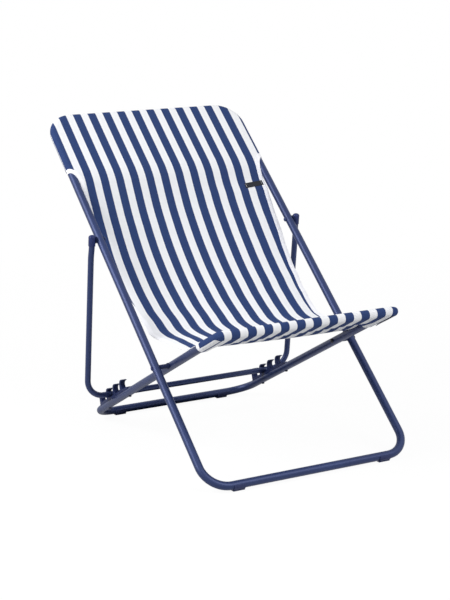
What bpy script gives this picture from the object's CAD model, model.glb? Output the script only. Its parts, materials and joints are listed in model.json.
import bmesh
import bpy
import json
import math
from mathutils import Matrix, Vector
from mathutils.geometry import interpolate_bezier


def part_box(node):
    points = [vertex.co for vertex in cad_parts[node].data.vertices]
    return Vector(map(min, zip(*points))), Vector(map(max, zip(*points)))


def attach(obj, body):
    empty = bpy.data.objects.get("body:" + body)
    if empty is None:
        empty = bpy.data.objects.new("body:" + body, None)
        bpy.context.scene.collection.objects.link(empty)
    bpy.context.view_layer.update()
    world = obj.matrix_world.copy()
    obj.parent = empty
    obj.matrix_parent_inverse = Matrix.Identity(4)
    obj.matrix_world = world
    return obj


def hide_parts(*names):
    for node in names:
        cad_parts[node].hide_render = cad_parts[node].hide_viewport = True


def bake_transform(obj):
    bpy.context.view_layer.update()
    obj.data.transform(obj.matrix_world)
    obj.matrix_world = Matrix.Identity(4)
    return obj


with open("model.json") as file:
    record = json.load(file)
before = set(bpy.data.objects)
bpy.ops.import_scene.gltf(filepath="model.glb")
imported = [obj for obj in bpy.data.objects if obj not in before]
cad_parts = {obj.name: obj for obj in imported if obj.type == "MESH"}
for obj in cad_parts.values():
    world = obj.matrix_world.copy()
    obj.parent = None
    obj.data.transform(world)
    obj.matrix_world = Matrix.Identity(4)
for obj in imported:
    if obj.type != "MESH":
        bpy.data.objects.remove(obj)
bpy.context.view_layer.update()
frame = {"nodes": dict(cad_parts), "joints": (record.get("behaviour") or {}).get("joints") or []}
mm = 0.001


# where the frames lie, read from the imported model
def jointAt(name):
    joint = next(j for j in frame["joints"] if j["name"] == name)
    return Vector(joint["pos_m"])


pivot = jointAt("back_frame_fold")
propPivot = jointAt("prop_swing")

tube = {
    "radius": 10 * mm,
    "sides": 40,
    "bendSteps": 16,
    "buttGap": 0.4 * mm,  # slit where the two ends of a loop meet
}
back = {
    "halfWidth": 273 * mm,
    "below": 340 * mm,  # pivot to front rail
    "above": 800 * mm,  # pivot to head bar
    "bend": 60 * mm,
}
seat = {
    "halfWidth": 229 * mm,
    "behind": 525.7 * mm,  # pivot to rear rail
    "ahead": 263 * mm,  # pivot to seat bar
    "bend": 60 * mm,
    "barBend": 30 * mm,
}
prop = {
    "radius": 7.5 * mm,
    "halfWidth": 296 * mm,
    "topHalfWidth": 294.5 * mm,
    "top": 8 * mm,  # tube above the prop's pivot
    "stepFrom": 20 * mm,  # below the pivot each leg steps outwards, between these two depths
    "stepTo": 46 * mm,
    "stepBend": 40 * mm,
    "length": 422.3 * mm,  # pivot to crossbar
    "bend": 48 * mm,
    "sides": 32,
}
railHeight = 13 * mm  # middle of both floor rails above the floor

# each frame's own axes: along its side tubes, and out of its upper face
upBack = (propPivot - pivot).normalized()
outBack = Vector((1, 0, 0)).cross(upBack)
seatTilt = math.asin((pivot.z - railHeight) / seat["behind"])
upSeat = Vector((0, -math.cos(seatTilt), math.sin(seatTilt)))
outSeat = upSeat.cross(Vector((1, 0, 0)))
barLow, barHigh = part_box("prop_tube")
propBar = Vector((0, barHigh.y - prop["radius"], barLow.z + prop["radius"]))
upProp = (propPivot - propBar).normalized()


def onBack(x, s, n=0.0):
    return pivot + Vector((x, 0, 0)) + upBack * s + outBack * n


def onSeat(x, s, n=0.0):
    return pivot + Vector((x, 0, 0)) + upSeat * s + outSeat * n


def onProp(x, s):
    return propPivot + Vector((x, 0, 0)) + upProp * s


# small helpers
def alone(piece):
    if bpy.context.mode != "OBJECT":
        bpy.ops.object.mode_set(mode="OBJECT")
    bpy.ops.object.select_all(action="DESELECT")
    piece.select_set(True)
    bpy.context.view_layer.objects.active = piece


def newPiece(name, mesh):
    piece = bpy.data.objects.new(name, mesh)
    bpy.context.scene.collection.objects.link(piece)
    alone(piece)
    return piece


def finishPiece(piece, material, slot, body, *nodes, smooth=40):
    alone(piece)
    bpy.ops.object.transform_apply(location=True, rotation=True, scale=True)
    bpy.ops.object.shade_smooth_by_angle(angle=math.radians(smooth))
    piece.data.materials.clear()
    piece.data.materials.append(material)
    if body:
        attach(piece, body)
    if nodes:
        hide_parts(*nodes)
    return piece


def colour(code):  # sRGB hex to linear
    channels = [int(code[i:i + 2], 16) / 255 for i in (1, 3, 5)]
    return [c / 12.92 if c <= 0.04045 else ((c + 0.055) / 1.055) ** 2.4 for c in channels] + [1]


def startMaterial(name):
    material = bpy.data.materials.new(name)
    material.use_nodes = True
    tree = material.node_tree
    return material, tree, tree.nodes["Principled BSDF"]


def addNode(tree, kind, settings, inputs, feeds=None):
    node = tree.nodes.new(kind)
    for key, value in settings.items():
        setattr(node, key, value)
    for key, value in inputs.items():
        if isinstance(value, bpy.types.NodeSocket):
            tree.links.new(value, node.inputs[key])
        else:
            node.inputs[key].default_value = value
    for key, socket in (feeds or {}).items():
        tree.links.new(node.outputs[key], socket)
    return node.outputs


def setShader(shader, **values):
    for key, value in values.items():
        shader.inputs[key.replace("_", " ")].default_value = value


coat = {
    "deep": "#212c54",
    "light": "#293a68",
    "rubbed": "#46528c",
    "poolsPerMetre": 9,  # patches where the powder flowed thicker
    "rubsPerMetre": 75,  # places rubbed thin by folding
    "rubRange": (0.66, 0.8),  # only the highest stretch of that pattern shows
    "rubMost": 0.35,
    "peel": 1.2 * mm,  # from one bump of the orange peel to the next
    "peelDepth": 0.3 * mm,
    "peelStrength": 0.006,
    "metallic": 0.3,
    "rough": (0.38, 0.44),
}


def powderCoat():
    # polyester powder on steel tube: a satin navy skin with faint orange peel, duller where it is paler
    material, tree, shader = startMaterial("powder_coat_navy")
    place = addNode(tree, "ShaderNodeTexCoord", {}, {})["Object"]
    broad = addNode(tree, "ShaderNodeTexNoise", {}, {"Vector": place, "Scale": coat["poolsPerMetre"]})["Fac"]
    fine = addNode(tree, "ShaderNodeTexNoise", {},
                   {"Vector": place, "Scale": coat["rubsPerMetre"], "Detail": 5})["Fac"]
    peel = addNode(tree, "ShaderNodeTexNoise", {},
                   {"Vector": place, "Scale": 1 / coat["peel"], "Detail": 3})["Fac"]
    pooled = addNode(tree, "ShaderNodeMix", {"data_type": "RGBA"},
                     {0: broad, 6: colour(coat["deep"]), 7: colour(coat["light"])})[2]
    faint, full = coat["rubRange"]
    rubs = {"Value": fine, "From Min": faint, "From Max": full, "To Max": coat["rubMost"]}
    rubbed = addNode(tree, "ShaderNodeMapRange", {}, rubs)["Result"]
    addNode(tree, "ShaderNodeMix", {"data_type": "RGBA"}, {0: rubbed, 6: pooled, 7: colour(coat["rubbed"])},
            {2: shader.inputs["Base Color"]})
    smoothest, roughest = coat["rough"]
    addNode(tree, "ShaderNodeMapRange", {}, {"Value": broad, "To Min": smoothest, "To Max": roughest},
            {"Result": shader.inputs["Roughness"]})
    addNode(tree, "ShaderNodeBump", {},
            {"Height": peel, "Strength": coat["peelStrength"], "Distance": coat["peelDepth"]},
            {"Normal": shader.inputs["Normal"]})
    setShader(shader, Metallic=coat["metallic"], IOR=1.5, Specular_IOR_Level=0.4)
    return material


grainDepth = 0.25 * mm


def grainyMaterial(name, dark, light, toneSize, roughness, grain, strength):
    # the shared build of a plain finish: two tones in patches, and a grain, each of a given size
    material, tree, shader = startMaterial(name)
    place = addNode(tree, "ShaderNodeTexCoord", {}, {})["Object"]
    patches = addNode(tree, "ShaderNodeTexNoise", {}, {"Vector": place, "Scale": 1 / toneSize})["Fac"]
    fine = addNode(tree, "ShaderNodeTexNoise", {}, {"Vector": place, "Scale": 1 / grain, "Detail": 3})["Fac"]
    addNode(tree, "ShaderNodeMix", {"data_type": "RGBA"}, {0: patches, 6: colour(dark), 7: colour(light)},
            {2: shader.inputs["Base Color"]})
    smoothest, roughest = roughness
    addNode(tree, "ShaderNodeMapRange", {}, {"Value": patches, "To Min": smoothest, "To Max": roughest},
            {"Result": shader.inputs["Roughness"]})
    addNode(tree, "ShaderNodeBump", {}, {"Height": fine, "Strength": strength, "Distance": grainDepth},
            {"Normal": shader.inputs["Normal"]})
    return material, shader


def drawnSteel():
    # cold-drawn steel, bare inside the tubes: even grey with faint marks
    material, shader = grainyMaterial("drawn_steel", "#8b8e94", "#a4a7ad", 3 * mm, (0.28, 0.44),
                                      1.4 * mm, 0.08)
    setShader(shader, Metallic=1.0)
    return material


def mouldedNylon(name, dark, light, roughness):
    # glass-filled nylon from a spark-eroded mould: fine even grain, a soft broad shine
    # the grain is about 0.2 mm, drawn at 0.5 mm so that it shows
    material, shader = grainyMaterial(name, dark, light, 16 * mm, roughness, 0.5 * mm, 0.25)
    setShader(shader, IOR=1.53, Specular_IOR_Level=0.18)
    return material


def blackOxide():
    # blackened steel screws: blue-black in two close tones
    material, shader = grainyMaterial("black_oxide_steel", "#14161f", "#262938", 4 * mm, (0.34, 0.46),
                                      0.9 * mm, 0.1)
    setShader(shader, Metallic=0.6)
    return material


def blackRibbon():
    # woven polyester ribbon: plain, close and nearly matt
    material, shader = grainyMaterial("polyester_ribbon_black", "#12141b", "#23262f", 2.5 * mm, (0.66, 0.8),
                                      0.7 * mm, 0.3)
    setShader(shader, Specular_IOR_Level=0.3)
    return material


def sewingThread():
    # twisted spun polyester thread, with the shadow between its plies
    return grainyMaterial("sewing_thread_white", "#d5d8e2", "#f2f3f6", 1.1 * mm, (0.55, 0.7),
                          0.35 * mm, 0.3)[0]


cloth = {
    "stripe": 21.65 * mm,
    "shift": -2.4 * mm,  # the middle white stripe lies a little to the left
    "drift": 0.073,  # per metre: how the stripes widen from the left edge to the right
    "thread": 1.1 * mm,  # real threads are half this; drawn coarser so that they show
    "wander": 0.5 * mm,  # how far a stripe's edge strays
    "wandersPerMetre": 300,
    "edge": 12.0,  # how sharply one colour meets the next
    "past": 0.57 * mm,  # how far navy reaches past an even split, at each edge of a stripe
    "slubsPerMetre": 120,  # thicker and thinner stretches of yarn
    "navy": "#253f71",
    "navyDeep": "#1f3365",
    "white": "#eff0f3",
    "whitePale": "#e7e9ed",
    "crownLight": 0.03,  # how much paler each thread's crown looks
    "weaveDepth": 0.4 * mm,
    "tape": "#f4f5fb",
    "tapePale": "#fbfbff",
    "tapeThread": 0.8 * mm,
    "tapeSlubsPerMetre": 150,
}


def plainWeave(tree, pitch, shader, strength):
    # over and under, from the cloth's own flat coordinates: each thread's crown is half a sine wave
    uv = addNode(tree, "ShaderNodeUVMap", {"uv_map": "cloth"}, {})["UV"]
    split = addNode(tree, "ShaderNodeSeparateXYZ", {}, {"Vector": uv})
    waves = []
    for way in (split["X"], split["Y"]):
        turns = addNode(tree, "ShaderNodeMath", {"operation": "MULTIPLY"}, {0: way, 1: math.pi / pitch})[0]
        waves.append(addNode(tree, "ShaderNodeMath", {"operation": "SINE"}, {0: turns})[0])
    product = addNode(tree, "ShaderNodeMath", {"operation": "MULTIPLY"}, {0: waves[0], 1: waves[1]})[0]
    crown = addNode(tree, "ShaderNodeMath", {"operation": "ABSOLUTE"}, {0: product})[0]
    addNode(tree, "ShaderNodeBump", {},
            {"Height": crown, "Strength": strength, "Distance": cloth["weaveDepth"]},
            {"Normal": shader.inputs["Normal"]})
    return split["X"], crown


def stripedCanvas():
    # yarn-dyed cotton canvas, plain woven: flat matt colour with slubs, dry and with hardly a highlight
    material, tree, shader = startMaterial("cotton_canvas_striped")
    across, crown = plainWeave(tree, cloth["thread"], shader, strength=0.35)
    place = addNode(tree, "ShaderNodeTexCoord", {}, {})["Object"]
    wobble = addNode(tree, "ShaderNodeTexNoise", {},
                     {"Vector": place, "Scale": cloth["wandersPerMetre"]})["Fac"]
    strayed = addNode(tree, "ShaderNodeMath", {"operation": "MULTIPLY_ADD"},
                      {0: wobble, 1: cloth["wander"], 2: -cloth["shift"] - cloth["wander"] / 2})[0]
    centred = addNode(tree, "ShaderNodeMath", {"operation": "ADD"}, {0: across, 1: strayed})[0]
    squared = addNode(tree, "ShaderNodeMath", {"operation": "MULTIPLY"}, {0: centred, 1: centred})[0]
    even = addNode(tree, "ShaderNodeMath", {"operation": "MULTIPLY_ADD"},
                   {0: squared, 1: -cloth["drift"], 2: centred})[0]
    # a whole wave is one white and one navy stripe, with white in the middle of the cloth
    turn = math.pi / cloth["stripe"]
    phase = addNode(tree, "ShaderNodeMath", {"operation": "MULTIPLY"}, {0: even, 1: turn})[0]
    wave = addNode(tree, "ShaderNodeMath", {"operation": "COSINE"}, {0: phase})[0]
    isNavy = addNode(tree, "ShaderNodeMath", {"operation": "MULTIPLY_ADD", "use_clamp": True},
                     {0: wave, 1: -cloth["edge"], 2: 0.5 + cloth["edge"] * cloth["past"] * turn})[0]
    slub = addNode(tree, "ShaderNodeTexNoise", {},
                   {"Vector": place, "Scale": cloth["slubsPerMetre"], "Detail": 4})["Fac"]
    navy = addNode(tree, "ShaderNodeMix", {"data_type": "RGBA"},
                   {0: slub, 6: colour(cloth["navyDeep"]), 7: colour(cloth["navy"])})[2]
    white = addNode(tree, "ShaderNodeMix", {"data_type": "RGBA"},
                    {0: slub, 6: colour(cloth["whitePale"]), 7: colour(cloth["white"])})[2]
    dyed = addNode(tree, "ShaderNodeMix", {"data_type": "RGBA"}, {0: isNavy, 6: white, 7: navy})[2]
    light = addNode(tree, "ShaderNodeMath", {"operation": "MULTIPLY"}, {0: crown, 1: cloth["crownLight"]})[0]
    addNode(tree, "ShaderNodeMix", {"data_type": "RGBA"}, {0: light, 6: dyed, 7: colour("#ffffff")},
            {2: shader.inputs["Base Color"]})
    setShader(shader, Roughness=0.92, Specular_IOR_Level=0.15)
    return material


def cottonBinding():
    # cotton tape, finer than the canvas: matt, with a faint nap of light at its turned edge
    material, tree, shader = startMaterial("cotton_binding_white")
    plainWeave(tree, cloth["tapeThread"], shader, strength=0.3)
    place = addNode(tree, "ShaderNodeTexCoord", {}, {})["Object"]
    slub = addNode(tree, "ShaderNodeTexNoise", {},
                   {"Vector": place, "Scale": cloth["tapeSlubsPerMetre"], "Detail": 3})["Fac"]
    addNode(tree, "ShaderNodeMix", {"data_type": "RGBA"},
            {0: slub, 6: colour(cloth["tape"]), 7: colour(cloth["tapePale"])},
            {2: shader.inputs["Base Color"]})
    setShader(shader, Roughness=0.9, Specular_IOR_Level=0.25, Sheen_Weight=0.1)
    return material


paint = powderCoat()
steel = drawnSteel()
capPlastic = mouldedNylon("nylon_navy", "#1f2850", "#293468", (0.34, 0.44))
rackPlastic = mouldedNylon("nylon_deep_navy", "#121b3c", "#1a2856", (0.5, 0.62))
padPlastic = mouldedNylon("nylon_mid_navy", "#2a3157", "#363f66", (0.46, 0.58))
oxide = blackOxide()
canvas = stripedCanvas()
tape = cottonBinding()
ribbon = blackRibbon()
thread = sewingThread()
print("materials made")


# bent tubes
def ringAt(name, radius, centre, along, sides):
    bpy.ops.object.select_all(action="DESELECT")
    turn = along.to_track_quat("Z", "Y").to_euler()
    bpy.ops.mesh.primitive_circle_add(vertices=sides, radius=radius, location=centre, rotation=turn)
    piece = bpy.context.active_object
    piece.name = name
    piece.data.name = name
    bpy.ops.object.transform_apply(location=True, rotation=True, scale=True)
    bpy.ops.object.mode_set(mode="EDIT")
    bpy.ops.mesh.select_all(action="SELECT")
    return piece


def extrudeBy(step):
    bpy.ops.mesh.extrude_region_move(TRANSFORM_OT_translate={"value": step})


# a ring pushed along straight legs and spun round each bend
def bentTube(name, corners, bends, radius, sides):
    first = (corners[1] - corners[0]).normalized()
    piece = ringAt(name, radius, corners[0], first, sides)
    here = corners[0]
    for i in range(1, len(corners) - 1):
        into = (corners[i] - corners[i - 1]).normalized()
        away = (corners[i + 1] - corners[i]).normalized()
        turn = into.angle(away)
        start = corners[i] - into * bends[i - 1] * math.tan(turn / 2)
        extrudeBy(start - here)
        inward = (away - into * away.dot(into)).normalized()
        centre = start + inward * bends[i - 1]
        steps = max(3, round(tube["bendSteps"] * turn / (math.pi / 2)))
        bpy.ops.mesh.spin(steps=steps, angle=-turn, center=centre, axis=into.cross(away))
        here = corners[i] + away * bends[i - 1] * math.tan(turn / 2)
    extrudeBy(corners[-1] - here)
    bpy.ops.mesh.select_all(action="SELECT")
    bpy.ops.mesh.remove_doubles(threshold=0.01 * mm)
    bpy.ops.mesh.select_all(action="DESELECT")
    bpy.ops.mesh.select_non_manifold()
    bpy.ops.mesh.fill_holes(sides=0)
    bpy.ops.mesh.select_all(action="SELECT")
    bpy.ops.mesh.normals_make_consistent(inside=False)
    bpy.ops.object.mode_set(mode="OBJECT")
    return piece


def loop(place, halfWidth, bar, rail):
    gap = tube["buttGap"] / 2
    spots = [(gap, bar), (halfWidth, bar), (halfWidth, rail),
             (-halfWidth, rail), (-halfWidth, bar), (-gap, bar)]
    return [place(x, s) for x, s in spots]


backCorners = loop(onBack, back["halfWidth"], back["above"], -back["below"])
backTube = bentTube("backFrameTube", backCorners, [back["bend"]] * 4, tube["radius"], tube["sides"])
finishPiece(backTube, paint, "painted_tube", "back_frame", "back_frame_tube")

seatCorners = loop(onSeat, seat["halfWidth"], seat["ahead"], -seat["behind"])
seatBends = [seat["barBend"], seat["bend"], seat["bend"], seat["barBend"]]
seatTube = bentTube("seatFrameTube", seatCorners, seatBends, tube["radius"], tube["sides"])
finishPiece(seatTube, paint, "painted_tube", "seat_frame", "seat_frame_tube")

leg = [(prop["topHalfWidth"], prop["top"]), (prop["topHalfWidth"], -prop["stepFrom"]),
       (prop["halfWidth"], -prop["stepTo"]), (prop["halfWidth"], -prop["length"])]
propCorners = [onProp(-x, s) for x, s in leg] + [onProp(x, s) for x, s in reversed(leg)]
propBends = [prop["stepBend"]] * 2 + [prop["bend"]] * 2 + [prop["stepBend"]] * 2
propTube = bentTube("propTube", propCorners, propBends, prop["radius"], prop["sides"])
finishPiece(propTube, paint, "painted_tube", "prop", "prop_tube")
print("tubes bent")


# moulded and turned pieces, their edges eased
def mergedCopy(node):
    mesh = frame["nodes"][node].data.copy()
    piece = newPiece(node + "_finished", mesh)
    bpy.ops.mesh.customdata_custom_splitnormals_clear()
    bpy.ops.object.mode_set(mode="EDIT")
    bpy.ops.mesh.select_all(action="SELECT")
    bpy.ops.mesh.remove_doubles(threshold=0.005 * mm)
    bpy.ops.mesh.dissolve_limited(angle_limit=math.radians(0.5))
    bpy.ops.mesh.normals_make_consistent(inside=False)
    bpy.ops.object.mode_set(mode="OBJECT")
    return piece


def easeEdges(piece, width, sharp=40):
    alone(piece)
    bevel = piece.modifiers.new("ease", "BEVEL")
    bevel.width = width
    bevel.segments = 3
    bevel.limit_method = "ANGLE"
    bevel.angle_limit = math.radians(sharp)
    bevel.harden_normals = False
    bpy.ops.object.modifier_apply(modifier="ease")
    return piece


eased = [
    # node, material, slot, body, edge in mm
    ("pivot_pin", capPlastic, "navy_plastic", "back_frame", 0.25),
    ("pivot_nut", oxide, "dark_screw", "back_frame", 0.25),
    ("pivot_spacer", rackPlastic, "dark_plastic", "back_frame", 0.4),
    ("prop_pin", paint, "dark_screw", "back_frame", 0.25),
    ("prop_washer", rackPlastic, "dark_plastic", "back_frame", 0.4),
    ("foot_pad_front", padPlastic, "dark_plastic", "back_frame", 0.5),
    ("foot_pad_rear", padPlastic, "dark_plastic", "seat_frame", 0.5),
    ("prop_cap", capPlastic, "navy_plastic", "prop", 0.3),
    ("rack_screw_rear", oxide, "dark_screw", "seat_frame", 0.25),
    ("rack_screw_front", oxide, "dark_screw", "seat_frame", 0.25),
]
headGap = 0.2 * mm  # a head starts this far off the tube
heads = {  # the low domes on the back frame's faces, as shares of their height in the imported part
    "pivot_pin": 0.45,
    "prop_pin": 0.2,
}
for node, material, slotName, body, edge in eased:
    for side in ("left", "right"):
        name = f"{node}_{side}"
        piece = mergedCopy(name)
        if node in heads:
            outward = 1 if node == "pivot_pin" else -1
            face = back["halfWidth"] + outward * (tube["radius"] + headGap)
            for vertex in piece.data.vertices:
                proud = max((abs(vertex.co.x) - face) * outward, 0)
                vertex.co.x -= math.copysign(outward * proud * (1 - heads[node]), vertex.co.x)
        finishPiece(easeEdges(piece, edge * mm), material, slotName, body, name)
for node in ("back_frame_sleeve", "seat_frame_sleeve"):
    frame["nodes"][node].data.materials.clear()
    frame["nodes"][node].data.materials.append(steel)
print("hardware eased")

# racks: the moulded bar keeps its shape, and each hook is pulled up out of it section by section
rack = {
    "rearEnd": 70 * mm,  # from the rear rail
    "top": 13.5 * mm,
    "pitch": 47 * mm,
    "count": 4,
    "hookWidth": 13 * mm,
    "edge": 0.5 * mm,
    "shave": 0.05 * mm,  # the bar is cut flat this far below its top
    "near": 0.02 * mm,  # corners this close are one
    # each section's back corner and front corner, forward of the hook's foot and above the bar, in mm
    "sections": [
        ((-0.4, -1), (17, -1)), ((0, 2), (14.4, 1.7)), ((0.4, 5), (12.4, 5)), ((1, 8.8), (11.4, 8.8)),
        ((2, 12.6), (11.2, 12.4)), ((3.7, 16.7), (12.1, 15.7)), ((6.4, 20.6), (14.2, 18.1)),
        ((10.2, 23.5), (17.2, 19.7)), ((15.2, 24.6), (20.8, 20.4)), ((21.5, 24), (24.8, 20.4)),
        ((28.2, 21), (28.6, 20)),
    ],
}


def moveCorners(piece, start, end):  # the corners at one spot of the side view, both sides together
    layer = bmesh.from_edit_mesh(piece.data)
    for vertex in layer.verts:
        vertex.select = (Vector((vertex.co.x, vertex.co.z)) - start).length < rack["near"]
    layer.select_flush(True)
    bpy.ops.transform.translate(value=(end.x - start.x, 0, end.y - start.y))


def pulledHook():
    sections = [(Vector(rear) * mm, Vector(front) * mm) for rear, front in rack["sections"]]
    rear, front = sections[0]
    size = (front - rear).length
    bpy.ops.object.select_all(action="DESELECT")
    bpy.ops.mesh.primitive_plane_add(size=1, location=(rear.x + size / 2, 0, rear.y))
    piece = bpy.context.active_object
    piece.name = "rackHook"
    piece.scale = (size, rack["hookWidth"], 1)
    bpy.ops.object.transform_apply(location=True, rotation=True, scale=True)
    bpy.ops.object.mode_set(mode="EDIT")
    bpy.ops.mesh.select_mode(type="VERT")
    bpy.ops.mesh.select_all(action="SELECT")
    for nextRear, nextFront in sections[1:]:
        step = nextRear - rear
        extrudeBy((step.x, 0, step.y))
        moveCorners(piece, front + step, nextFront)
        rear, front = nextRear, nextFront
        layer = bmesh.from_edit_mesh(piece.data)
        for vertex in layer.verts:
            spot = Vector((vertex.co.x, vertex.co.z))
            vertex.select = min((spot - rear).length, (spot - front).length) < rack["near"]
        layer.select_flush(True)
    bpy.ops.mesh.select_all(action="SELECT")
    bpy.ops.mesh.normals_make_consistent(inside=False)
    bpy.ops.object.mode_set(mode="OBJECT")
    return easeEdges(piece, rack["edge"], sharp=55)


hookPattern = pulledHook()
lying = Matrix((upSeat, (1, 0, 0), outSeat)).transposed().to_4x4()  # forward, sideways, up
for side, x in (("left", -seat["halfWidth"]), ("right", seat["halfWidth"])):
    bar = mergedCopy(f"rack_{side}")
    bpy.ops.object.mode_set(mode="EDIT")
    bpy.ops.mesh.select_all(action="SELECT")
    level = onSeat(0, 0, rack["top"] - rack["shave"])
    bpy.ops.mesh.bisect(plane_co=level, plane_no=outSeat, use_fill=True, clear_outer=True)
    bpy.ops.object.mode_set(mode="OBJECT")
    easeEdges(bar, rack["edge"])
    hooks = []
    for i in range(rack["count"]):
        hook = newPiece("rackHook", hookPattern.data.copy())
        foot = onSeat(x, rack["rearEnd"] - seat["behind"] + i * rack["pitch"], rack["top"])
        hook.matrix_world = Matrix.Translation(foot) @ lying
        bpy.ops.object.transform_apply(location=True, rotation=True, scale=True)
        hooks.append(hook)
    alone(bar)
    for hook in hooks:
        hook.select_set(True)
    bpy.ops.object.join()
    finishPiece(bar, rackPlastic, "dark_plastic", "seat_frame", f"rack_{side}")
bpy.data.objects.remove(hookPattern)
print("racks made")

# sling
sling = {
    "round": 10.9 * mm,  # middle of the cloth round a tube
    "thickness": 1.0 * mm,
    "headPocket": 178 * mm,
    "seatPocket": 99 * mm,
    "seatCorner": 10 * mm,  # the seat pocket's corners stand squarer than the tube in them
    "seatSide": 231.5 * mm,
    "spareEnd": 9 * mm,  # and its right end stands empty beyond the bar's bend
    "spareFrom": 226 * mm,
    "spareRun": 12 * mm,
    "seatShift": 2.5 * mm,  # the cloth has slid a little to the right on the seat bar
    "shiftRun": 60 * mm,
    "seamGap": 1.6 * mm,  # between the middles of the two layers where a pocket is sewn
    "tuckRun": 60 * mm,  # beside the head pocket the cloth stays round the tube this far
    "meetFrom": 62 * mm,  # from here to the seat pocket the panel's sides turn round its tube
    "meetRun": 56 * mm,
    "columns": 112,
    "step": 6 * mm,
    "edgeTop": 263 * mm,  # half width just under the head pocket
}
# the sag of the cloth in mm: along the back frame, then along the seat frame, and its height off the tubes
backSag = [
    (606, 10.6), (580, 6), (560, -1.5), (520, -16.3), (488, -27), (440, -38.3), (400, -46),
    (360, -51.3), (320, -54.7), (280, -55.6), (240, -53.6), (199, -50.2), (150, -39.8), (110, -28.4),
]
seatSag = [(10, 44), (40, 28), (70, 12), (100, 5.5), (130, 5.5)]
# by share of the panel's length, in mm: how far the right edge rises and the left one falls, then how far
# both rise
unevenness = [
    (0, 0, 0), (0.1, 0, 0), (0.15, 4, 6), (0.22, 6, 5), (0.27, 9, 4.5), (0.34, 11, 2.5), (0.41, 10, 1),
    (0.48, 9, -1), (0.55, 4, -2), (0.62, -3, -2), (0.70, -4, 0), (0.78, -9, 0), (0.86, -6, 4),
    (0.94, -5, 5), (1, 0, 0),
]
# the free edges in mm from the middle, by share of the panel's length; the hems draw the cloth in
leftEdge = [
    (0, 263), (0.18, 263), (0.245, 260), (0.3, 254), (0.35, 250), (0.4, 247), (0.45, 244), (0.505, 240),
    (0.56, 235), (0.62, 233), (0.68, 236), (0.79, 234), (0.87, 229), (0.93, 224), (1, 223),
]
rightEdge = [
    (0, 263), (0.18, 263), (0.3, 260), (0.38, 255), (0.465, 251), (0.56, 249), (0.68, 245), (0.8, 242),
    (1, 240),
]
# the seams that close the pockets: how far out they reach, and the lengths over which the cloth is drawn up
headSeam = {
    "side": 215 * mm,
    "sideRun": 46 * mm,
    "run": 150 * mm,
}
seatSeam = {
    "side": 175 * mm,
    "sideRun": 45 * mm,
    "from": 42 * mm,
    "run": 57 * mm,
}

quarter = sling["round"] * math.pi / 2
drawnUp = 2 * sling["round"] - sling["seamGap"]
headMouth = back["above"] - sling["headPocket"]
seatMouth = seat["ahead"] - sling["seatPocket"]


def smoothCurve(points, spacing):  # points about evenly spaced along a smooth curve through the ones given
    ends = [points[0] * 2 - points[1], *points, points[-1] * 2 - points[-2]]
    curve = []
    for before, a, b, after in zip(ends, ends[1:], ends[2:], ends[3:]):
        size = (b - a).length
        outA = (b - before).normalized() * size / 3
        outB = (after - a).normalized() * size / 3
        count = max(3, round(size / spacing) + 1)
        part = interpolate_bezier(a, a + outA, b - outB, b, count)
        curve += part[:-1]
    return [Vector(p) for p in curve] + [points[-1]]


profilePoints = [onBack(0, headMouth, sling["round"])]
profilePoints += [onBack(0, s * mm, n * mm) for s, n in backSag]
profilePoints += [onSeat(0, s * mm, n * mm) for s, n in seatSag]
profilePoints += [onSeat(0, seatMouth, sling["round"])]
profile = smoothCurve(profilePoints, 3 * mm)
reach = [0.0]
for a, b in zip(profile, profile[1:]):
    reach.append(reach[-1] + (b - a).length)
panelLength = reach[-1]

# running length of the cloth: hem behind the head bar, over it, down the front, round the seat bar, hem below
topAt = sling["headPocket"] + quarter
mouthAt = 2 * topAt
seatAt = mouthAt + panelLength
underAt = seatAt + sling["seatPocket"] + 2 * quarter
clothEnd = underAt + sling["seatPocket"]


def profileAt(a):
    a = min(max(a, 0.0), panelLength)
    low = min(int(a / panelLength * (len(reach) - 1)), len(reach) - 2)
    while reach[low] > a:
        low -= 1
    while reach[low + 1] < a:
        low += 1
    share = (a - reach[low]) / (reach[low + 1] - reach[low])
    return profile[low].lerp(profile[low + 1], share)


def smooth(t):
    t = min(max(t, 0.0), 1.0)
    return t * t * (3 - 2 * t)


def riseAt(u, a):  # how far the panel stands off its middle line, from its tilt and its dish
    share = min(max(a / panelLength, 0.0), 1.0)
    side = u / sling["edgeTop"]
    for (low, tiltA, dishA), (high, tiltB, dishB) in zip(unevenness, unevenness[1:]):
        if share <= high:
            t = smooth((share - low) / (high - low))
            tilt, dish = tiltA + (tiltB - tiltA) * t, dishA + (dishB - dishA) * t
            return (tilt * side + dish * side * side) * mm
    return 0.0


# cloth pulled over a frame's end: (x, v, height), flat inside the tube's line and round it outside
def wrapped(u, v, halfWidth, bar, bend):
    x, side = abs(u), 1 if u >= 0 else -1
    cx, cv = halfWidth - bend, bar - bend
    if x > cx and v > cv:
        away = Vector((x - cx, v - cv))
        outside = away.length - bend
        outward = away.normalized()
    elif x - halfWidth > v - bar:
        outside, outward = x - halfWidth, Vector((1, 0))
    else:
        outside, outward = v - bar, Vector((0, 1))
    if outside <= 0:
        return u, v, sling["round"]
    angle = outside / sling["round"]
    base = Vector((x, v)) - outward * outside
    spot = base + outward * sling["round"] * math.sin(angle)
    return side * spot.x, spot.y, sling["round"] * math.cos(angle)


def arch(t, low, high):  # the half width across a slit's arched hem, as t goes from 0 to 1
    t = min(max(t, 0.0), 1.0)
    return low + (high - low) * (1 - math.sqrt(1 - t * t))


def panelEdge(a, side):  # how far the panel's edge lies from the middle
    share = min(max(a / panelLength, 0.0), 1.0)
    points = leftEdge if side < 0 else rightEdge
    for (low, start), (high, end) in zip(points, points[1:]):
        if share <= high:
            return (start + (end - start) * smooth((share - low) / (high - low))) * mm
    return points[-1][1] * mm


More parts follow.
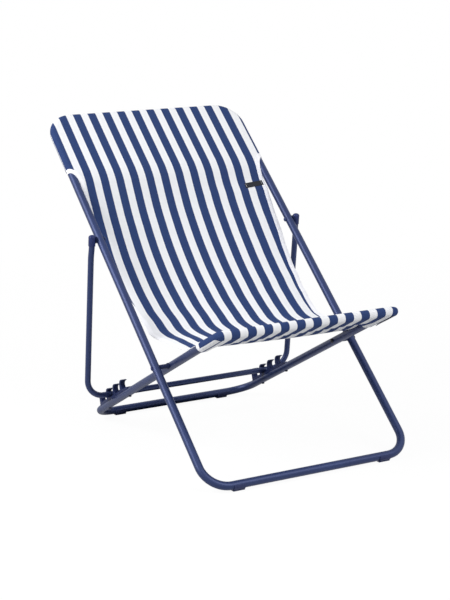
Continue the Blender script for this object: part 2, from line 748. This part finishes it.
slit = {  # the arches beside the pockets' mouths: their lengths, and how far each reaches into its pocket
    "head": 42 * mm,
    "headRise": -10 * mm,
    "seat": 30 * mm,
    "seatRise": 8 * mm,
}
headSlit = mouthAt - slit["headRise"]
seatSlit = seatAt + slit["seatRise"]


# half the width where the cloth turns a corner, at a length beyond the start of the bend
def cornerWidth(halfWidth, bend, reach, beyond):
    return halfWidth - bend + math.sqrt(max(reach * reach - beyond * beyond, 0))


def widthAt(q, side):  # how far the cloth reaches to one side at a running length
    if q < mouthAt:
        beyond = headMouth + (q if q < topAt else mouthAt - q) - back["above"] + back["bend"]
        return cornerWidth(back["halfWidth"], back["bend"], back["bend"] + quarter, max(beyond, 0))
    bend = sling["seatCorner"]
    if q < seatSlit:
        fromHead = (mouthAt + slit["head"] - slit["headRise"] - q) / slit["head"]
        fromSeat = (q - (seatSlit - slit["seat"])) / slit["seat"]
        edge = panelEdge(q - mouthAt, side)
        if fromHead > 0:
            return arch(fromHead, edge, back["halfWidth"] + quarter)
        if fromSeat > 0:
            return arch(fromSeat, edge, sling["seatSide"] + 2 * quarter)
        return edge
    if q < underAt:
        beyond = seatMouth + q - seatAt - seat["ahead"] + bend
        return cornerWidth(sling["seatSide"], bend, bend + 2 * quarter, max(beyond, 0))
    beyond = bend - (q - underAt)
    return cornerWidth(sling["seatSide"], bend, bend, max(beyond, 0))


def shiftAt(v):
    return sling["seatShift"] * smooth((v - seatMouth) / sling["shiftRun"])


def roundSeatBar(u, v):
    spare = sling["spareEnd"] * smooth((u - sling["spareFrom"]) / sling["spareRun"])
    x, along, n = wrapped(u, v, sling["seatSide"], seat["ahead"], sling["seatCorner"])
    return onSeat(x + shiftAt(v) + spare, along, n)


def placeCloth(u, q):  # a spot of the flat cloth, across and along, to its place on the chair
    if q <= topAt:  # behind the head bar, drawn up to the seam between the tubes
        x, v, n = wrapped(u, headMouth + q, back["halfWidth"], back["above"], back["bend"])
        inside = 1 - smooth((abs(u) - headSeam["side"]) / headSeam["sideRun"])
        near = 1 - smooth(q / headSeam["run"])
        return onBack(x, v, -n + inside * near * drawnUp)
    if q <= mouthAt:
        return onBack(*wrapped(u, headMouth + mouthAt - q, back["halfWidth"], back["above"], back["bend"]))
    if q < seatAt:
        a = q - mouthAt
        d = 4 * mm
        along = profileAt(a + d) - profileAt(a - d)
        spot = profileAt(a) + Vector((u, 0, 0)) + along.cross(Vector((1, 0, 0))).normalized() * riseAt(u, a)
        if a < sling["tuckRun"] and abs(u) > back["halfWidth"]:
            spot = onBack(*wrapped(u, headMouth - a, back["halfWidth"], back["above"], back["bend"]))
        near = smooth((a - panelLength + sling["meetFrom"]) / sling["meetRun"])
        if near > 0 and abs(u) > seat["halfWidth"]:
            spot = spot.lerp(roundSeatBar(u, seatMouth - panelLength + a), near)
        return spot
    if q <= underAt:
        return roundSeatBar(u, seatMouth + q - seatAt)
    v = seat["ahead"] - (q - underAt)  # under the seat bar, slack, then drawn up to the seam
    inside = 1 - smooth((abs(u) - seatSeam["side"]) / seatSeam["sideRun"])
    near = smooth((seat["ahead"] - v - seatSeam["from"]) / seatSeam["run"])
    return onSeat(u + shiftAt(v), v, -sling["round"] + inside * near * drawnUp)


def clothFace(u, q, lift):  # a spot lifted off the cloth's outer face
    d = 1.5 * mm
    across = placeCloth(u + d, q) - placeCloth(u - d, q)
    along = placeCloth(u, q + d) - placeCloth(u, q - d)
    return placeCloth(u, q) + along.cross(across).normalized() * lift


widened = {  # the seat pocket's tight sides show their stripes wider, from just before its mouth
    "share": 0.28,
    "before": 25 * mm,
    "run": 30 * mm,
}


def dyeAt(u, q):  # where on the stripes a spot falls
    begun = smooth((q - seatAt + widened["before"]) / widened["run"])
    extra = max(abs(u) - sling["seatSide"], 0) * begun
    return math.copysign(abs(u) - widened["share"] * extra, u), q


def lengthsBetween(start, end, step):
    count = max(1, math.ceil((end - start) / step - 1e-6))
    return [start + (end - start) * i / count for i in range(count)]


def cornerLengths(start, radius, rising, steps=14):
    turns = [math.pi / 2 * i / steps for i in range(steps)]
    if rising:
        return [start + radius * math.sin(t) for t in turns]
    return [start + radius * (1 - math.cos(t)) for t in turns]


archSteps = 12
archTurns = [math.pi / 2 * i / archSteps for i in range(archSteps)]
headArch = [headSlit + slit["head"] * (1 - math.cos(t)) for t in archTurns]
seatArch = [seatSlit - slit["seat"] * (1 - math.sin(t)) for t in archTurns]
headBig = back["bend"] + quarter
seatBig = sling["seatCorner"] + 2 * quarter
rows = lengthsBetween(0, topAt - headBig, sling["step"])
rows += cornerLengths(topAt - headBig, headBig, True)
rows += cornerLengths(topAt, headBig, False)
rows += lengthsBetween(topAt + headBig, headSlit, sling["step"])
rows += headArch
rows += lengthsBetween(headSlit + slit["head"], seatSlit - slit["seat"], sling["step"])
rows += seatArch
rows += lengthsBetween(seatSlit, underAt - seatBig, sling["step"])
rows += cornerLengths(underAt - seatBig, seatBig, True)
rows += cornerLengths(underAt, sling["seatCorner"], False, 8)
rows += lengthsBetween(underAt + sling["seatCorner"], clothEnd, sling["step"]) + [clothEnd]


# a woven grid with its flat coordinates in metres, given a wall
def grid(name, rowCount, columnCount, spotAt, uvAt, material, wall):
    vertices = [spotAt(i, j) for i in range(rowCount) for j in range(columnCount)]
    faces = []
    for i in range(rowCount - 1):
        for j in range(columnCount - 1):
            a = i * columnCount + j
            faces.append((a, a + 1, a + columnCount + 1, a + columnCount))
    mesh = bpy.data.meshes.new(name)
    mesh.from_pydata(vertices, [], faces)
    layer = mesh.uv_layers.new(name="cloth")
    for polygon in mesh.polygons:
        for corner in polygon.loop_indices:
            vertex = mesh.loops[corner].vertex_index
            layer.data[corner].uv = uvAt(vertex // columnCount, vertex % columnCount)
    piece = newPiece(name, mesh)
    bpy.ops.object.mode_set(mode="EDIT")
    bpy.ops.mesh.select_all(action="SELECT")
    bpy.ops.mesh.remove_doubles(threshold=0.05 * mm)
    bpy.ops.object.mode_set(mode="OBJECT")
    solid = piece.modifiers.new("wall", "SOLIDIFY")
    solid.thickness = wall
    solid.offset = 0
    bpy.ops.object.modifier_apply(modifier="wall")
    mesh.materials.clear()
    mesh.materials.append(material)
    return piece


def columnShare(j, count):  # columns lie closer together towards both edges
    t = 2 * j / (count - 1) - 1
    return math.copysign(1 - (1 - abs(t)) ** 1.5, t)


columns = sling["columns"] + 1
shares = [columnShare(j, columns) for j in range(columns)]
flat = [[(t * widthAt(q, t), q) for t in shares] for q in rows]
slingSheet = grid("sling", len(rows), columns, lambda i, j: placeCloth(*flat[i][j]),
                  lambda i, j: dyeAt(*flat[i][j]), canvas, sling["thickness"])
print("sling laid", len(slingSheet.data.polygons))


# binding along the free edges
# the free edge of one side, as (distance from the middle, running length), from slit to slit
def edgeRun(side):
    between = lengthsBetween(headArch[-1] + sling["step"] / 2, seatArch[0], sling["step"])
    run = [Vector((widthAt(q + 1e-7, side), q)) for q in headArch + between + seatArch]
    # its last spot lies just inside the corner where the pocket begins
    return run + [Vector((sling["seatSide"] + 2 * quarter - 0.5 * mm, seatSlit - 0.1 * mm))]


def inwardAlong(run):
    inward = []
    for i in range(len(run)):
        along = (run[min(i + 1, len(run) - 1)] - run[max(i - 1, 0)]).normalized()
        inward.append(Vector((-along.y, along.x)))
    for _ in range(2):  # even out the turns into the slits
        padded = [inward[0], *inward, inward[-1]]
        inward = [(a + b + c).normalized() for a, b, c in zip(padded, padded[1:], padded[2:])]
    return inward


binding = {
    "width": 12 * mm,
    "columns": 7,
    "overhang": 0.3 * mm,
    "wall": sling["thickness"] + 1.1 * mm,  # turned over twice, so thicker than the cloth on both faces
}


def bindingStrip(name, side):
    run = edgeRun(side)
    inward = inwardAlong(run)

    def flatAt(i, j):
        spot = run[i] + inward[i] * (binding["width"] * j / (binding["columns"] - 1) - binding["overhang"])
        return side * spot.x, spot.y

    return grid(name, len(run), binding["columns"], lambda i, j: placeCloth(*flatAt(i, j)), flatAt, tape,
                binding["wall"])


bindings = [bindingStrip("slingBindingLeft", -1), bindingStrip("slingBindingRight", 1)]
print("edges bound")


# plain woven tab, sewn flat near the right edge
tab = {
    "from": 202 * mm,
    "to": 257 * mm,
    "at": 92 * mm,  # down the panel from the head pocket's mouth
    "height": 15 * mm,
    "slant": 4.8 * mm,  # its inner end is sewn lower
    "lift": 1.3 * mm,
    "endDrop": 0.25 * mm,  # both ends are sewn down, a little lower
    "wall": 0.9 * mm,
    "columns": 19,
    "rows": 7,
}


def tabSpot(i, j):
    last = tab["columns"] - 1
    end = abs(j / (last / 2) - 1) ** 6
    down = tab["slant"] * (1 - j / last) + tab["height"] * (i / (tab["rows"] - 1) - 0.5)
    return clothFace(tab["from"] + (tab["to"] - tab["from"]) * j / last, mouthAt + tab["at"] + down,
                     tab["lift"] - tab["endDrop"] * end)


tabPiece = grid("slingTab", tab["rows"], tab["columns"], tabSpot, lambda i, j: (j * 3 * mm, i * 2 * mm),
                ribbon, tab["wall"])
print("tab sewn")


# stitching
stitch = {
    "pitch": 3.6 * mm,
    "length": 2.7 * mm,
    "radius": 0.38 * mm,
    "sides": 6,
    "sizes": (0.35, 1, 0.35),  # thin where it dips into the cloth at both ends
    "follow": 0.9 * mm,  # how closely a row follows the cloth
    "offEdge": 10 * mm,  # a hem's row, from the free edge
    "onHem": 1.1 * mm,  # middle of the thread above the middle of the cloth
    "onCloth": 0.55 * mm,
    "onTab": 1.75 * mm,
}


def stitches(name, run, lift, material):  # short threads end to end along a run of flat cloth coordinates
    sides = stitch["sides"]
    spots = [run[0]]
    for a, b in zip(run, run[1:]):
        count = max(1, round((b - a).length / stitch["follow"]))
        spots += [a.lerp(b, i / count) for i in range(1, count + 1)]
    lengths = [0.0]
    for a, b in zip(spots, spots[1:]):
        lengths.append(lengths[-1] + (b - a).length)

    def spotAlong(d):
        i = min(max(int(d / lengths[-1] * (len(lengths) - 1)), 0), len(lengths) - 2)
        while lengths[i] > d:
            i -= 1
        while i < len(lengths) - 2 and lengths[i + 1] < d:
            i += 1
        return spots[i].lerp(spots[i + 1], (d - lengths[i]) / (lengths[i + 1] - lengths[i]))

    vertices, faces = [], []
    for k in range(int(lengths[-1] / stitch["pitch"])):
        start = k * stitch["pitch"] + (stitch["pitch"] - stitch["length"]) / 2
        ends = [clothFace(*spotAlong(start + stitch["length"] * t), lift) for t in (0, 0.5, 1)]
        along = (ends[2] - ends[0]).normalized()
        sideways = along.orthogonal().normalized()
        upward = along.cross(sideways)
        base = len(vertices)
        for spot, size in zip(ends, stitch["sizes"]):
            for i in range(sides):
                turn = 2 * math.pi * i / sides
                offset = sideways * math.cos(turn) + upward * math.sin(turn)
                vertices.append(spot + offset * stitch["radius"] * size)
        for r in range(2):
            for i in range(sides):
                a, b = base + r * sides + i, base + r * sides + (i + 1) % sides
                faces.append((a, b, b + sides, a + sides))
        faces.append(tuple(base + i for i in reversed(range(sides))))
        faces.append(tuple(base + 2 * sides + i for i in range(sides)))
    mesh = bpy.data.meshes.new(name)
    mesh.from_pydata(vertices, [], faces)
    mesh.materials.append(material)
    return newPiece(name, mesh)


def hemLine(side):
    run = edgeRun(side)
    inward = inwardAlong(run)
    spots = [spot + inset * stitch["offEdge"] for spot, inset in zip(run, inward)]
    return [Vector((side * spot.x, spot.y)) for spot in spots[4:-4]]


def acrossAt(q, reach):
    return [Vector((-reach, q)), Vector((reach, q))]


tabEnds = [[Vector((x * mm, mouthAt + tab["at"] + down * mm + t * 6 * mm)) for t in (-1, 1)]
           for x, down in ((205, 4.5), (253, 0.3))]  # across the tab, near both of its ends, in mm
rowsOfStitches = [
    ("stitchesHemLeft", hemLine(-1), stitch["onHem"]),
    ("stitchesHemRight", hemLine(1), stitch["onHem"]),
    ("stitchesSeatPocket", acrossAt(seatAt + 4 * mm, 219 * mm), stitch["onCloth"]),
    ("stitchesSeatHem", acrossAt(clothEnd - 10 * mm, 226 * mm), stitch["onCloth"]),
    ("stitchesHeadHem", acrossAt(10 * mm, 270 * mm), stitch["onCloth"]),
    ("stitchesTabInner", tabEnds[0], stitch["onTab"]),
    ("stitchesTabOuter", tabEnds[1], stitch["onTab"]),
]
seams = [stitches(name, run, lift, thread) for name, run, lift in rowsOfStitches]
print("seams stitched")

softPieces = [slingSheet, *bindings, tabPiece, *seams]
for piece in softPieces:
    finishPiece(piece, piece.data.materials[0], "canvas", None, smooth=60)
    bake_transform(piece)
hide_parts("sling_head_pocket", "sling_back_panel", "sling_lap_panel", "sling_seat_panel",
            "sling_seat_pocket")
print("sling done")


# floor, light and camera
stageSet = {
    "size": 14,
    "room": 0.37,  # light from the room's walls
    # how far the white backdrop stands in for the paper near the chair; the rest keeps the shadow
    "nearShare": 0.9,
    "nearGlow": 1.05,  # makes up for the grey of the paper there
    "near": 0.9,  # radius of that patch, in metres
    "far": 2.8,  # from here on the paper is plain white to the eye
    "paper": "#c8c8c8",
    # the paper below the rear rail, which the sling shades, as reflections find it
    "shaded": "#404040",
    "shadeAt": (0, 0.345, 0),
    "shadeSize": (0.25, 0.345, 1),  # half width and half depth of that shade
    "shadeFade": (0.6, 1.1),  # from full shade to none, as shares of that size
}


def backdropRays(tree):  # camera, glossy and transmitted rays see the plain white studio
    seen = addNode(tree, "ShaderNodeLightPath", {}, {})
    sharp = addNode(tree, "ShaderNodeMath", {"operation": "MAXIMUM"},
                    {0: seen["Is Camera Ray"], 1: seen["Is Glossy Ray"]})[0]
    return addNode(tree, "ShaderNodeMath", {"operation": "MAXIMUM"},
                   {0: sharp, 1: seen["Is Transmission Ray"]})[0]


def paperSweep():
    # seamless studio paper: matt, pale grey under the lamps, and white to the eye
    material, tree, shader = startMaterial("studio_paper_white")
    setShader(shader, Roughness=0.9, Specular_IOR_Level=0.1)
    place = addNode(tree, "ShaderNodeTexCoord", {}, {})["Object"]
    away = addNode(tree, "ShaderNodeVectorMath", {"operation": "LENGTH"}, {0: place})["Value"]
    reach = {"Value": away, "From Min": stageSet["near"], "From Max": stageSet["far"]}
    share = addNode(tree, "ShaderNodeMapRange", {}, {**reach, "To Min": stageSet["nearShare"]})["Result"]
    strength = addNode(tree, "ShaderNodeMapRange", {},
                       {**reach, "To Min": stageSet["nearGlow"], "To Max": 1.0})["Result"]
    glow = addNode(tree, "ShaderNodeEmission", {},
                   {"Color": (1, 1, 1, 1), "Strength": strength})["Emission"]
    shade = {"Vector": place, "Location": stageSet["shadeAt"], "Scale": stageSet["shadeSize"]}
    centred = addNode(tree, "ShaderNodeMapping", {"vector_type": "TEXTURE"}, shade)["Vector"]
    off = addNode(tree, "ShaderNodeVectorMath", {"operation": "LENGTH"}, {0: centred})["Value"]
    inner, outer = stageSet["shadeFade"]
    clear = addNode(tree, "ShaderNodeMapRange", {},
                    {"Value": off, "From Min": inner, "From Max": outer})["Result"]
    camera = addNode(tree, "ShaderNodeLightPath", {}, {})["Is Camera Ray"]
    lit = addNode(tree, "ShaderNodeMath", {"operation": "MAXIMUM"}, {0: camera, 1: clear})[0]
    addNode(tree, "ShaderNodeMix", {"data_type": "RGBA"},
            {0: lit, 6: colour(stageSet["shaded"]), 7: colour(stageSet["paper"])},
            {2: shader.inputs["Base Color"]})
    litShare = addNode(tree, "ShaderNodeMath", {"operation": "MULTIPLY"}, {0: lit, 1: share})[0]
    seen = addNode(tree, "ShaderNodeMath", {"operation": "MULTIPLY"},
                   {0: backdropRays(tree), 1: litShare})[0]
    output = next(node for node in tree.nodes if node.type == "OUTPUT_MATERIAL")
    addNode(tree, "ShaderNodeMixShader", {}, {0: seen, 1: shader.outputs[0], 2: glow},
            {0: output.inputs["Surface"]})
    return material


bpy.ops.object.select_all(action="DESELECT")
bpy.ops.mesh.primitive_plane_add(size=stageSet["size"], location=(0, 0, 0))
floor = bpy.context.active_object
floor.name = "floor"
floor.data.materials.append(paperSweep())

world = bpy.data.worlds.new("softRoom")
bpy.context.scene.world = world
world.use_nodes = True
room = world.node_tree.nodes["Background"]
room.inputs["Color"].default_value = (1, 1, 1, 1)
addNode(world.node_tree, "ShaderNodeMapRange", {},
        {"Value": backdropRays(world.node_tree), "To Min": stageSet["room"]},
        {"Result": room.inputs["Strength"]})

aim = Vector((0, 0, 0.4))
lamps = [
    # name, place, diameter, watts
    ("sideSoftbox", (-2.5, 0.35, 2.1), 1.9, 76),
    ("frontSoftbox", (0.8, -2.7, 2.5), 2.4, 63),
    ("rearSoftbox", (-0.6, 2.4, 2.6), 2.0, 10),
]
for name, place, size, power in lamps:
    lamp = bpy.data.lights.new(name, "AREA")
    lamp.shape = "DISK"
    lamp.size = size
    lamp.energy = power
    stand = bpy.data.objects.new(name, lamp)
    stand.location = place
    stand.rotation_euler = (aim - Vector(place)).to_track_quat("-Z", "Y").to_euler()
    bpy.context.scene.collection.objects.link(stand)

view = {
    "azimuth": -28.46,
    "elevation": 11.61,
    "roll": -1.40,
    "distance": 3.752,
    "target": (-0.065, -0.1199, 0.3701),
    "lens": 93.0,
    "sensor": 36,
    "shift": (0.0052, 0.0014),
}
azimuth, elevation, roll = (math.radians(view[k]) for k in ("azimuth", "elevation", "roll"))
ahead = Vector((-math.sin(azimuth) * math.cos(elevation), math.cos(azimuth) * math.cos(elevation),
                -math.sin(elevation)))
right = ahead.cross(Vector((0, 0, 1))).normalized()
up = right.cross(ahead)
tiltedRight = right * math.cos(roll) + up * math.sin(roll)
tiltedUp = up * math.cos(roll) - right * math.sin(roll)
lens = bpy.data.cameras.new("viewCamera")
lens.lens = view["lens"]
lens.sensor_width = view["sensor"]
lens.shift_x, lens.shift_y = view["shift"]
camera = bpy.data.objects.new("viewCamera", lens)
axes = Matrix((tiltedRight, tiltedUp, -ahead)).transposed().to_4x4()
camera.matrix_world = Matrix.Translation(Vector(view["target"]) - ahead * view["distance"]) @ axes
bpy.context.scene.collection.objects.link(camera)
bpy.context.scene.camera = camera
bpy.context.scene.view_settings.view_transform = "Standard"
print("stage set")
